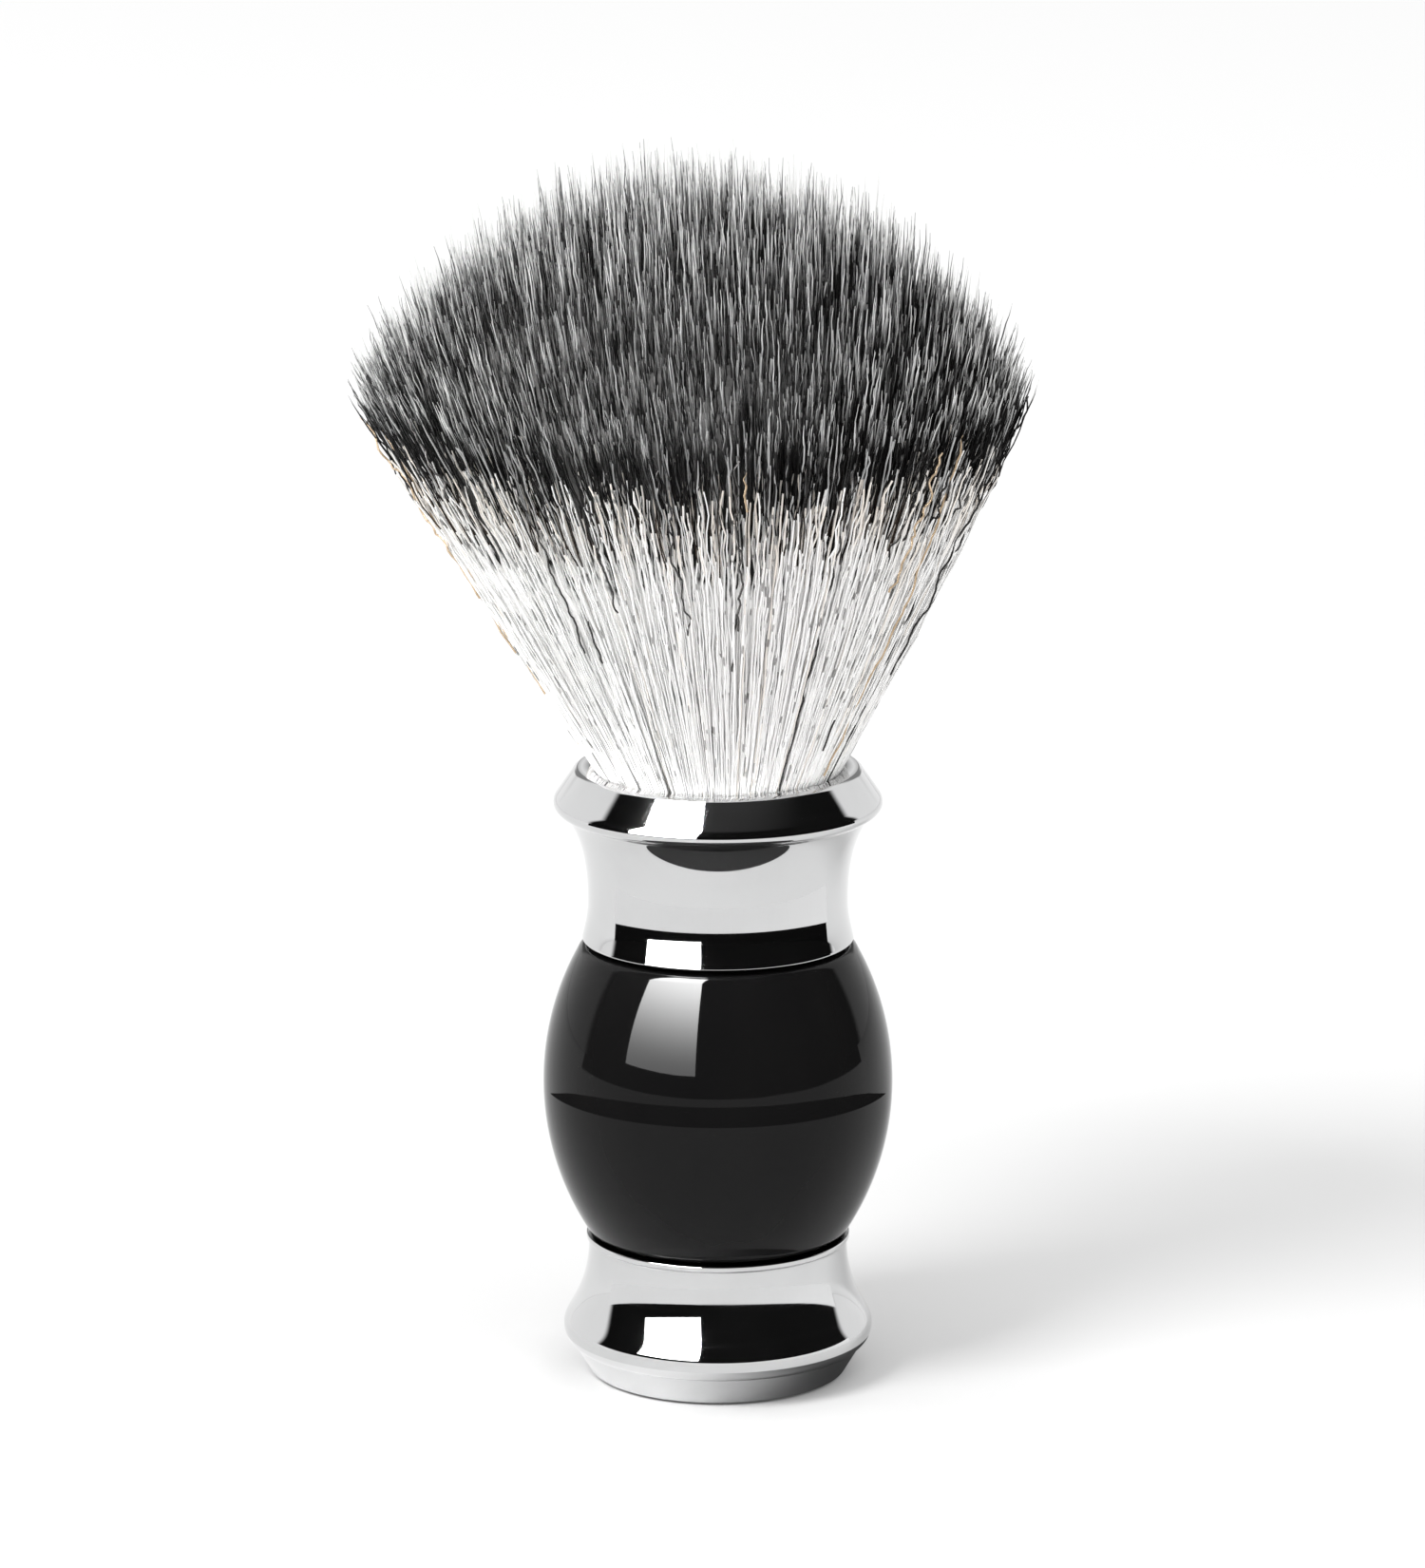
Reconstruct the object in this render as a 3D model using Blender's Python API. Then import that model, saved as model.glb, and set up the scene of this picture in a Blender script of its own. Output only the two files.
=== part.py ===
"""Shaving brush: a chromed foot, a black barrel and a chromed collar drawn together by one long screw,
with a fanned fibre knot potted into the collar.

Blender 4.5, metres, +Z up. The origin is the middle of the foot pad's underside. Every piece is turned:
its half-section is drawn as (radius, height above the table) and spun once round the Z axis. Each piece
hangs from the empty of its body: the handle stands still, the collar and the knot screw off the end of
the tie screw, and the upper fibres swing about the middle of the collar's mouth.
"""

import math

import bmesh
import bpy
from mathutils import Matrix, Vector

MM = 0.001

# Driving dimensions
MOUTH_Z = 57.0 * MM  # height of the collar's mouth above the table
SEAT_GAP = 0.3 * MM  # room left between pieces that touch
CHROME_FOOT_Z = 0.2 * MM  # the pad stands this far proud of the chrome foot
FOOT_TOP_Z = 13.2 * MM
BARREL_BOTTOM_Z = FOOT_TOP_Z + SEAT_GAP
BARREL_TOP_Z = 40.5 * MM
BARREL_WAIST_R = 16.0 * MM  # fattest radius of the barrel
COLLAR_BOTTOM_Z = BARREL_TOP_Z + 0.4 * MM
KNOT_R = 10.35 * MM  # outside of the cup that holds the knot
FAN_SLOPE = 0.591  # how fast the fan widens with height
FAN_ROOT_R = 10.75 * MM  # fan's radius where it leaves the mouth
DOME_R = 33.8 * MM  # the fibre ends lie on a ball of this radius
DOME_CENTRE_Z = 79.2 * MM

# Tie screw: M6 with a low round head
SCREW_R = 3.0 * MM
SCREW_HOLE_R = SCREW_R + SEAT_GAP
SCREW_LENGTH = 40.0 * MM
HEAD_R = 5.25 * MM
HEAD_HEIGHT = 3.3 * MM
HEAD_BOTTOM_Z = 3.0 * MM
HEAD_TOP_Z = HEAD_BOTTOM_Z + HEAD_HEIGHT
SCREW_TIP_Z = HEAD_TOP_Z + SCREW_LENGTH
SOCKET_ACROSS_FLATS = 4.0 * MM
SOCKET_DEPTH = 2.0 * MM
WASHER_THICKNESS = 1.6 * MM
SPRING_SLOT_WIDTH = 0.7 * MM

# Spigots that centre the barrel, and the sealing rings in their grooves
SPIGOT_R = 6.5 * MM
COUNTERBORE_R = SPIGOT_R + SEAT_GAP
LOWER_SPIGOT_TOP_Z = 15.9 * MM
UPPER_SPIGOT_BOTTOM_Z = 36.3 * MM
SEAL_INNER_R = 7.8 * MM
SEAL_OUTER_R = 9.8 * MM
SEAL_HEIGHT = 1.0 * MM

# Hollow of the foot
WEB_BOTTOM_Z = 10.4 * MM
CAVITY_R = 9.6 * MM
RECESS_R = 10.7 * MM
RECESS_TOP_Z = 2.7 * MM

# Socket of the collar, and the root of the knot in it
SOCKET_FLOOR_Z = 47.5 * MM
SOCKET_R = KNOT_R + SEAT_GAP
GLUE_THICKNESS = 0.8 * MM
CUP_BOTTOM_Z = SOCKET_FLOOR_Z + GLUE_THICKNESS + 2 * SEAT_GAP
CUP_HEIGHT = 6.1 * MM
CUP_WALL = 0.75 * MM
CUP_FLOOR = 1.0 * MM
POTTING_BOTTOM_Z = CUP_BOTTOM_Z + CUP_FLOOR + SEAT_GAP
POTTING_TOP_Z = POTTING_BOTTOM_Z + 2.6 * MM
BINDING_CORD_R = 0.19 * MM
BINDING_TURNS = 4

# The upper fibres swing about the middle of the mouth, over a ball-shaped parting of this radius
PARTING_R = 17.0 * MM

FINE_STEPS = 48
PLAIN_STEPS = 24


def clear_scene():
    for old in list(bpy.data.objects):
        bpy.data.objects.remove(old, do_unlink=True)


def material(name, colour, roughness, metallic=0.0):
    made = bpy.data.materials.new(name)
    made.use_nodes = True
    shader = made.node_tree.nodes["Principled BSDF"]
    shader.inputs["Base Color"].default_value = (*colour, 1.0)
    shader.inputs["Roughness"].default_value = roughness
    shader.inputs["Metallic"].default_value = metallic
    return made


def body_frame(name, height, parent=None):
    """The empty that a body's pieces hang from, on the body's joint axis."""
    frame = bpy.data.objects.new(name, None)
    frame.empty_display_size = 10 * MM
    frame.parent = parent
    frame.location = (0, 0, height - (parent.location.z if parent else 0))
    bpy.context.scene.collection.objects.link(frame)
    return frame


def arc(centre, radius, start, end, steps):
    """Points on a circle from one angle to another, in degrees from +X towards +Z."""
    angles = [math.radians(start + (end - start) * i / steps) for i in range(steps + 1)]
    return [(centre[0] + radius * math.cos(a), centre[1] + radius * math.sin(a)) for a in angles]


def bezier(start, handle_a, handle_b, end, steps):
    """Points along a cubic curve, both ends included."""
    found = []
    for i in range(steps + 1):
        t = i / steps
        weights = ((1 - t) ** 3, 3 * t * (1 - t) ** 2, 3 * t * t * (1 - t), t**3)
        corners = (start, handle_a, handle_b, end)
        found.append(tuple(sum(w * p[k] for w, p in zip(weights, corners)) for k in (0, 1)))
    return found


def turned(name, outline, look, body, height=0.0, steps=PLAIN_STEPS):
    """A turned piece with its origin at a height on its body's axis.

    An outline that starts and ends on the axis is solid there; any other is a ring.
    """
    solid = outline[0][0] == 0 and outline[-1][0] == 0
    shape = bmesh.new()
    points = [shape.verts.new((r, 0.0, z - height)) for r, z in outline]
    pairs = list(zip(points, points[1:])) + ([] if solid else [(points[-1], points[0])])
    edges = [shape.edges.new(pair) for pair in pairs]
    turn = {"cent": (0, 0, 0), "axis": (0, 0, 1), "angle": math.tau, "steps": steps}
    bmesh.ops.spin(shape, geom=points + edges, use_merge=True, **turn)
    bmesh.ops.remove_doubles(shape, verts=shape.verts, dist=0.001 * MM)
    bmesh.ops.recalc_face_normals(shape, faces=shape.faces)
    mesh = bpy.data.meshes.new(name)
    shape.to_mesh(mesh)
    shape.free()
    mesh.shade_smooth()
    mesh.set_sharp_from_angle(angle=math.radians(35))
    mesh.materials.append(look)
    piece = bpy.data.objects.new(name, mesh)
    bpy.context.scene.collection.objects.link(piece)
    piece.parent = body
    bpy.context.view_layer.update()
    piece.location = (0, 0, height - body.matrix_world.translation.z)
    return piece


def ring(name, inner_r, outer_r, bottom, top, look, body, edge=0.15 * MM):
    """A flat ring with its four edges broken."""
    outline = [(inner_r + edge, top), (outer_r - edge, top), (outer_r, top - edge)]
    outline += [(outer_r, bottom + edge), (outer_r - edge, bottom), (inner_r + edge, bottom)]
    outline += [(inner_r, bottom + edge), (inner_r, top - edge)]
    return turned(name, outline, look, body, bottom)


def disc(name, radius, bottom, top, look, body, edge=0.2 * MM):
    """A flat disc with its two edges broken."""
    outline = [(0, top), (radius - edge, top), (radius, top - edge)]
    outline += [(radius, bottom + edge), (radius - edge, bottom), (0, bottom)]
    return turned(name, outline, look, body, bottom)


def cut(piece, cutter):
    """Takes the cutter's shape out of the piece, and leaves the cutter as a hidden helper."""
    cutter.parent = piece
    cutter.hide_render = True
    cutter.display_type = "WIRE"
    bite = piece.modifiers.new("Cut", "BOOLEAN")
    bite.operation = "DIFFERENCE"
    bite.solver = "EXACT"
    bite.object = cutter


def prism(name, across_corners, sides, depth):
    """An upright prism about its own origin, used as a cutter."""
    shape = bmesh.new()
    size = {"radius1": across_corners / 2, "radius2": across_corners / 2, "depth": depth}
    bmesh.ops.create_cone(shape, cap_ends=True, segments=sides, **size)
    mesh = bpy.data.meshes.new(name)
    shape.to_mesh(mesh)
    shape.free()
    cutter = bpy.data.objects.new(name, mesh)
    bpy.context.scene.collection.objects.link(cutter)
    return cutter


def build_foot_pad(look, body):
    """Rubber disc under the foot, proud of the chrome so that the brush doesn't slide."""
    disc("foot_pad", RECESS_R - SEAT_GAP, 0.0, 1.3 * MM, look, body)


def build_foot_cover(look, body):
    """Sheet steel disc that closes the hollow foot, above the pad."""
    disc("foot_cover", RECESS_R - SEAT_GAP, 1.6 * MM, RECESS_TOP_Z - SEAT_GAP, look, body, 0.1 * MM)


def build_foot(look, body):
    """Chromed foot: a thin lip under the barrel, a swept neck, a rounded belly and a tapered heel."""
    lip_r = 12.1 * MM
    neck = (11.85 * MM, 12.0 * MM)
    belly = (14.2 * MM, 4.6 * MM)
    crease = (13.3 * MM, 2.8 * MM)
    groove_bottom = FOOT_TOP_Z - SEAL_HEIGHT - SEAT_GAP
    outline = [(SCREW_HOLE_R, LOWER_SPIGOT_TOP_Z), (SPIGOT_R - 0.3 * MM, LOWER_SPIGOT_TOP_Z)]
    outline += [(SPIGOT_R, LOWER_SPIGOT_TOP_Z - 0.3 * MM), (SPIGOT_R, FOOT_TOP_Z)]
    outline += [(SEAL_INNER_R - SEAT_GAP, FOOT_TOP_Z), (SEAL_INNER_R - SEAT_GAP, groove_bottom)]
    outline += [(SEAL_OUTER_R + SEAT_GAP, groove_bottom), (SEAL_OUTER_R + SEAT_GAP, FOOT_TOP_Z)]
    outline += [(lip_r - 0.15 * MM, FOOT_TOP_Z), (lip_r, FOOT_TOP_Z - 0.15 * MM)]
    outline += bezier(neck, (neck[0], 7.6 * MM), (14.1 * MM, 5.75 * MM), belly, 9)
    outline += bezier(belly, (14.25 * MM, 3.9 * MM), (14.0 * MM, 3.2 * MM), crease, 4)[1:]
    outline += [(11.8 * MM, CHROME_FOOT_Z + 0.2 * MM), (11.6 * MM, CHROME_FOOT_Z)]
    outline += [(RECESS_R, CHROME_FOOT_Z), (RECESS_R, RECESS_TOP_Z), (CAVITY_R, RECESS_TOP_Z)]
    outline += [(CAVITY_R, WEB_BOTTOM_Z), (SCREW_HOLE_R, WEB_BOTTOM_Z)]
    turned("foot", outline, look, body, CHROME_FOOT_Z, FINE_STEPS)


def build_balance_weight(look, body):
    """Heavy steel ring round the screw's head that keeps the brush upright."""
    outer_r = CAVITY_R - SEAT_GAP
    top = WEB_BOTTOM_Z - SEAT_GAP
    ring("balance_weight", 6.3 * MM, outer_r, RECESS_TOP_Z + SEAT_GAP, top, look, body, 0.3 * MM)


def build_tie_screw(look, body):
    """The screw that runs up through foot and barrel into the collar, with a hexagon socket in its head."""
    chamfer = 0.5 * MM
    outline = [(0, SCREW_TIP_Z), (SCREW_R - chamfer, SCREW_TIP_Z), (SCREW_R, SCREW_TIP_Z - chamfer)]
    outline += [(SCREW_R, HEAD_TOP_Z), (HEAD_R, HEAD_TOP_Z), (HEAD_R, HEAD_TOP_Z - 0.6 * MM)]
    outline += bezier(
        (HEAD_R - 0.1 * MM, HEAD_TOP_Z - 1.0 * MM),
        (HEAD_R - 0.6 * MM, HEAD_BOTTOM_Z + 0.9 * MM),
        (HEAD_R - 1.6 * MM, HEAD_BOTTOM_Z),
        (SOCKET_ACROSS_FLATS * 0.75, HEAD_BOTTOM_Z),
        4,
    )
    outline += [(0, HEAD_BOTTOM_Z)]
    screw = turned("tie_screw", outline, look, body, HEAD_BOTTOM_Z)
    socket = prism("hexagon_cutter", 2 * SOCKET_ACROSS_FLATS / math.sqrt(3), 6, 2 * SOCKET_DEPTH)
    cut(screw, socket)


def build_washers(look, body):
    """A flat washer under the foot's web, and a split spring washer between it and the screw's head."""
    flat_top = WEB_BOTTOM_Z - SEAT_GAP
    flat_bottom = flat_top - WASHER_THICKNESS
    spring_top = flat_bottom - SEAT_GAP
    spring_bottom = spring_top - WASHER_THICKNESS
    outer_r = 6.0 * MM
    ring("flat_washer", SCREW_HOLE_R, outer_r, flat_bottom, flat_top, look, body)
    spring = ring("spring_washer", SCREW_HOLE_R, outer_r - 0.1 * MM, spring_bottom, spring_top, look, body)
    slot = prism("slot_cutter", SPRING_SLOT_WIDTH * math.sqrt(2), 4, 4 * WASHER_THICKNESS)
    slot.data.transform(Matrix.Rotation(math.radians(45), 4, "Z"))
    slot.data.transform(Matrix.Diagonal((6.0, 1.0, 1.0, 1.0)))
    slot.data.transform(Matrix.Rotation(math.radians(25), 4, "X"))
    slot.location = Vector((SCREW_HOLE_R + SCREW_HOLE_R / 2, 0, WASHER_THICKNESS / 2))
    cut(spring, slot)


def build_lower_seal(look, body):
    """Sealing ring in the foot's top groove."""
    bottom = BARREL_BOTTOM_Z - SEAT_GAP - SEAL_HEIGHT
    top = bottom + SEAL_HEIGHT
    ring("lower_seal", SEAL_INNER_R, SEAL_OUTER_R, bottom, top, look, body, 0.3 * MM)


def build_barrel(look, body):
    """Black barrel, bulging on one arc, bored for the screw and counterbored at each end for a spigot."""
    bulge_r = 25.6 * MM
    bulge_z = 27.5 * MM
    edge = 0.35 * MM
    top_angle = math.degrees(math.asin((BARREL_TOP_Z - edge - bulge_z) / bulge_r))
    bottom_angle = math.degrees(math.asin((BARREL_BOTTOM_Z + edge - bulge_z) / bulge_r))
    side = arc((BARREL_WAIST_R - bulge_r, bulge_z), bulge_r, top_angle, bottom_angle, 18)
    outline = [(COUNTERBORE_R, BARREL_TOP_Z), (side[0][0] - edge, BARREL_TOP_Z), *side]
    outline += [(side[-1][0] - edge, BARREL_BOTTOM_Z), (COUNTERBORE_R, BARREL_BOTTOM_Z)]
    outline += [(COUNTERBORE_R, LOWER_SPIGOT_TOP_Z + SEAT_GAP)]
    outline += [(SCREW_HOLE_R, LOWER_SPIGOT_TOP_Z + SEAT_GAP)]
    outline += [(SCREW_HOLE_R, UPPER_SPIGOT_BOTTOM_Z - SEAT_GAP)]
    outline += [(COUNTERBORE_R, UPPER_SPIGOT_BOTTOM_Z - SEAT_GAP)]
    turned("barrel", outline, look, body, BARREL_BOTTOM_Z, FINE_STEPS)


def build_upper_seal(look, body):
    """Sealing ring that rises with the collar, in the groove under it."""
    bottom = BARREL_TOP_Z + SEAT_GAP
    top = bottom + SEAL_HEIGHT
    ring("upper_seal", SEAL_INNER_R, SEAL_OUTER_R, bottom, top, look, body, 0.3 * MM)


def build_collar(look, body):
    """Chromed collar: a sloping shoulder round the mouth, a hollow waist, and a tapped spigot below."""
    lip_outer_r = 12.95 * MM
    shoulder = (14.75 * MM, 54.4 * MM)
    crease = (13.95 * MM, 52.7 * MM)
    waist = (11.85 * MM, 44.6 * MM)
    bottom_r = 12.3 * MM
    groove_top = BARREL_TOP_Z + SEAT_GAP + SEAL_HEIGHT + SEAT_GAP
    tapped_top = SCREW_TIP_Z + 0.4 * MM
    outline = [(0, SOCKET_FLOOR_Z), (SOCKET_R, SOCKET_FLOOR_Z), (SOCKET_R, MOUTH_Z - 1.5 * MM)]
    outline += [(11.6 * MM, MOUTH_Z), (lip_outer_r - 0.25 * MM, MOUTH_Z)]
    outline += [(lip_outer_r, MOUTH_Z - 0.1 * MM)]
    outline += bezier(shoulder, (15.25 * MM, 53.75 * MM), (15.05 * MM, 53.2 * MM), crease, 5)
    outline += bezier(crease, (12.6 * MM, 51.0 * MM), (waist[0], 48.5 * MM), waist, 8)[1:]
    bottom = (bottom_r, COLLAR_BOTTOM_Z + 0.1 * MM)
    outline += bezier(waist, (waist[0], 43.0 * MM), (11.95 * MM, 41.9 * MM), bottom, 4)[1:]
    outline += [(bottom_r - 0.2 * MM, COLLAR_BOTTOM_Z), (SEAL_OUTER_R + SEAT_GAP, COLLAR_BOTTOM_Z)]
    outline += [(SEAL_OUTER_R + SEAT_GAP, groove_top), (SEAL_INNER_R - SEAT_GAP, groove_top)]
    outline += [(SEAL_INNER_R - SEAT_GAP, COLLAR_BOTTOM_Z), (SPIGOT_R, COLLAR_BOTTOM_Z)]
    outline += [(SPIGOT_R, UPPER_SPIGOT_BOTTOM_Z + 0.3 * MM)]
    outline += [(SPIGOT_R - 0.3 * MM, UPPER_SPIGOT_BOTTOM_Z), (SCREW_HOLE_R, UPPER_SPIGOT_BOTTOM_Z)]
    outline += [(SCREW_HOLE_R, tapped_top), (0, tapped_top)]
    turned("collar", outline, look, body, COLLAR_BOTTOM_Z, FINE_STEPS)


def build_glue_bed(look, body):
    """Cured glue on the socket's floor, which the knot's cup is bedded in."""
    bottom = SOCKET_FLOOR_Z + SEAT_GAP
    disc("glue_bed", KNOT_R, bottom, bottom + GLUE_THICKNESS, look, body, 0.1 * MM)


def build_knot_cup(look, body):
    """Moulded cup round the root of the knot."""
    floor = CUP_BOTTOM_Z + CUP_FLOOR
    top = CUP_BOTTOM_Z + CUP_HEIGHT
    inner_r = KNOT_R - CUP_WALL
    edge = 0.2 * MM
    outline = [(0, floor), (inner_r, floor), (inner_r, top - edge), (inner_r + edge, top)]
    outline += [(KNOT_R - edge, top), (KNOT_R, top - edge), (KNOT_R, CUP_BOTTOM_Z + edge)]
    outline += [(KNOT_R - edge, CUP_BOTTOM_Z), (0, CUP_BOTTOM_Z)]
    turned("knot_cup", outline, look, body, CUP_BOTTOM_Z)


def build_root_potting(look, body):
    """Cast resin that the butt ends of the fibres are set in."""
    radius = KNOT_R - CUP_WALL - SEAT_GAP
    disc("root_potting", radius, POTTING_BOTTOM_Z, POTTING_TOP_Z, look, body)


def build_root_binding(look, body):
    """Thread wound round the gathered fibres, just above the potting."""
    bottom = POTTING_TOP_Z + SEAT_GAP
    inner_r = 8.75 * MM
    outline = []
    for turn in reversed(range(BINDING_TURNS)):
        middle = bottom + BINDING_CORD_R * (2 * turn + 1)
        outline += arc((inner_r + BINDING_CORD_R, middle), BINDING_CORD_R, 60, -60, 4)
    outline += [(inner_r, bottom), (inner_r, bottom + 2 * BINDING_CORD_R * BINDING_TURNS)]
    turned("root_binding", outline, look, body, bottom)


def fan_r(z):
    """Radius of the fan's straight side at a height."""
    return FAN_ROOT_R + FAN_SLOPE * (z - MOUTH_Z)


def fan_point(distance):
    """The point of the fan's side that is this far from the middle of the mouth."""
    square = 1 + FAN_SLOPE**2
    half = FAN_ROOT_R * FAN_SLOPE
    rise = (math.sqrt(half**2 - square * (FAN_ROOT_R**2 - distance**2)) - half) / square
    return fan_r(MOUTH_Z + rise), MOUTH_Z + rise


def ball(radius, steps):
    """A ball about the middle of the mouth, from the fan's side in to the axis."""
    side_r, side_z = fan_point(radius)
    lowest = math.degrees(math.atan2(side_z - MOUTH_Z, side_r))
    return [*arc((0, MOUTH_Z), radius, lowest, 90, steps)[:-1], (0, MOUTH_Z + radius)]


def build_fibre_roots(look, body):
    """The lower fibres: gathered in the cup, then fanning out over the lip up to the parting."""
    bottom = POTTING_TOP_Z + SEAT_GAP
    gathered_r = 8.4 * MM
    outline = [*reversed(ball(PARTING_R, 8)), (FAN_ROOT_R, MOUTH_Z), (9.2 * MM, MOUTH_Z - 1.7 * MM)]
    outline += [(gathered_r, MOUTH_Z - 2.2 * MM), (gathered_r, bottom), (0, bottom)]
    turned("fibre_roots", outline, look, body, bottom)


def build_fibre_head(look, body):
    """The upper fibres, up to their domed ends: the stretch that bends when the brush is used."""
    rim_angle = 24
    dome = arc((0, DOME_CENTRE_Z), DOME_R, 90, rim_angle, 10)[1:]
    below_rim = MOUTH_Z + 30.5 * MM
    rim = bezier(dome[-1], (31.5 * MM, 91.6 * MM), (30.9 * MM, 90.0 * MM), (fan_r(below_rim), below_rim), 4)
    outline = [(0, DOME_CENTRE_Z + DOME_R), *dome, *rim[1:], *ball(PARTING_R + SEAT_GAP, 8)]
    turned("fibre_head", outline, look, body, MOUTH_Z, FINE_STEPS)


def main():
    clear_scene()
    chrome = material("chrome", (0.83, 0.83, 0.84), 0.06, 1.0)
    black_resin = material("black_resin", (0.012, 0.012, 0.013), 0.08)
    steel = material("steel", (0.55, 0.55, 0.56), 0.35, 1.0)
    rubber = material("rubber", (0.03, 0.03, 0.03), 0.8)
    glue = material("glue", (0.75, 0.62, 0.35), 0.3)
    nylon = material("nylon", (0.80, 0.80, 0.78), 0.5)
    thread = material("thread", (0.70, 0.66, 0.58), 0.9)
    white_fibre = material("white_fibre", (0.80, 0.79, 0.77), 0.5)
    dark_fibre = material("dark_fibre", (0.22, 0.22, 0.22), 0.5)

    handle = body_frame("handle_frame", 0.0)
    lift = body_frame("lift_frame", COLLAR_BOTTOM_Z)
    thread_axis = body_frame("collar_frame", COLLAR_BOTTOM_Z, lift)
    sway = body_frame("sway_pivot", MOUTH_Z, thread_axis)

    build_foot_pad(rubber, handle)
    build_foot_cover(steel, handle)
    build_foot(chrome, handle)
    build_balance_weight(steel, handle)
    build_tie_screw(steel, handle)
    build_washers(steel, handle)
    build_lower_seal(rubber, handle)
    build_barrel(black_resin, handle)
    build_upper_seal(rubber, lift)
    build_collar(chrome, thread_axis)
    build_glue_bed(glue, thread_axis)
    build_knot_cup(nylon, thread_axis)
    build_root_potting(glue, thread_axis)
    build_root_binding(thread, thread_axis)
    build_fibre_roots(white_fibre, thread_axis)
    build_fibre_head(dark_fibre, sway)


main()
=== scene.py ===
"""Shaving brush: chromed foot, black barrel, chromed collar and a fanned, banded fibre knot."""

import math

import bmesh
import bpy
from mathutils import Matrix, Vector


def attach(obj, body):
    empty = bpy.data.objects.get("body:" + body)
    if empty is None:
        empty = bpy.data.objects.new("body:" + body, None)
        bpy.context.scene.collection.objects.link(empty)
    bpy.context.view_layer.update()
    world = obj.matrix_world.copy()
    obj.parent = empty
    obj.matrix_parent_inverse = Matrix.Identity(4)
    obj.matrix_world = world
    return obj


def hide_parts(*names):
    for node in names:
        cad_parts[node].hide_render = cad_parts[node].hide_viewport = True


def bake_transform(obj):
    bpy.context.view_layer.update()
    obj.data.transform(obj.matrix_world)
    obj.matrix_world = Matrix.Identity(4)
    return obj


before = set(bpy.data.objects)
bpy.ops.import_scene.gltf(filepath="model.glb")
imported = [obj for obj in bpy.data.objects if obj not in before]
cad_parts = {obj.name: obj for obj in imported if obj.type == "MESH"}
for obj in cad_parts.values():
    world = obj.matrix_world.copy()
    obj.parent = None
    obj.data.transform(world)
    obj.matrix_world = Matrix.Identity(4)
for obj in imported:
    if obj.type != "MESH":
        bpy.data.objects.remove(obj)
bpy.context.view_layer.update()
MM = 0.001


# --- Foot -----------------------------------------------------------------------------------------
# A zinc casting, polished and chromed: lip under the barrel, swept neck, rounded belly and tapered
# heel. It is hollow underneath and carries a spigot on top that centres the barrel.


class Wire:
    """The output of a node. Arithmetic on it adds Math nodes to its tree."""

    def __init__(self, bench, socket):
        self.bench, self.socket = bench, socket

    def maths(self, operation, *others):
        values = dict(enumerate((self, *others)))
        return self.bench.node("ShaderNodeMath", {"operation": operation}, values)

    def flipped(self, operation, other):
        return self.bench.node("ShaderNodeMath", {"operation": operation}, {0: other, 1: self})

    def __add__(self, other):
        return self.maths("ADD", other)

    def __sub__(self, other):
        return self.maths("SUBTRACT", other)

    def __mul__(self, other):
        return self.maths("MULTIPLY", other)

    def __truediv__(self, other):
        return self.maths("DIVIDE", other)

    def __pow__(self, other):
        return self.maths("POWER", other)

    __radd__ = __add__
    __rmul__ = __mul__

    def __rsub__(self, other):
        return self.flipped("SUBTRACT", other)

    def __rtruediv__(self, other):
        return self.flipped("DIVIDE", other)

    def between(self, low, high):
        """0 below low, 1 above high, with a soft step from one to the other."""
        settings = {"interpolation_type": "SMOOTHSTEP"}
        sockets = {"Value": self, "From Min": low, "From Max": high}
        return self.bench.node("ShaderNodeMapRange", settings, sockets)


class Bench:
    """One node tree, and the one way that nodes are added to it."""

    def __init__(self, tree):
        self.tree = tree

    def node(self, kind, settings=(), sockets=(), output=0):
        made = self.tree.nodes.new(kind)
        for key, value in dict(settings).items():
            setattr(made, key, value)
        for key, value in dict(sockets).items():
            self.feed(made, key, value)
        return Wire(self, self.find(made.outputs, output))

    def find(self, sockets, key):
        """The socket of that number or name, among those in use."""
        live = [s for s in sockets if s.enabled]
        return live[key] if isinstance(key, int) else next(s for s in live if s.name == key)

    def feed(self, made, key, value):
        socket = self.find(made.inputs, key)
        if isinstance(value, Wire):
            self.tree.links.new(value.socket, socket)
        else:
            socket.default_value = value

    def mix(self, share, first, second):
        """A colour part of the way from the first to the second."""
        colours = [(*c, 1.0) if isinstance(c, tuple) else c for c in (first, second)]
        sockets = {"Factor": share, "A": colours[0], "B": colours[1]}
        return self.node("ShaderNodeMix", {"data_type": "RGBA"}, sockets)

    def noise(self, place, scale, detail=2.0, output="Fac"):
        sockets = {"Vector": place, "Scale": scale, "Detail": detail}
        return self.node("ShaderNodeTexNoise", {}, sockets, output)

    def vector(self, x, y, z):
        return self.node("ShaderNodeCombineXYZ", {}, {"X": x, "Y": y, "Z": z})


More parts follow.
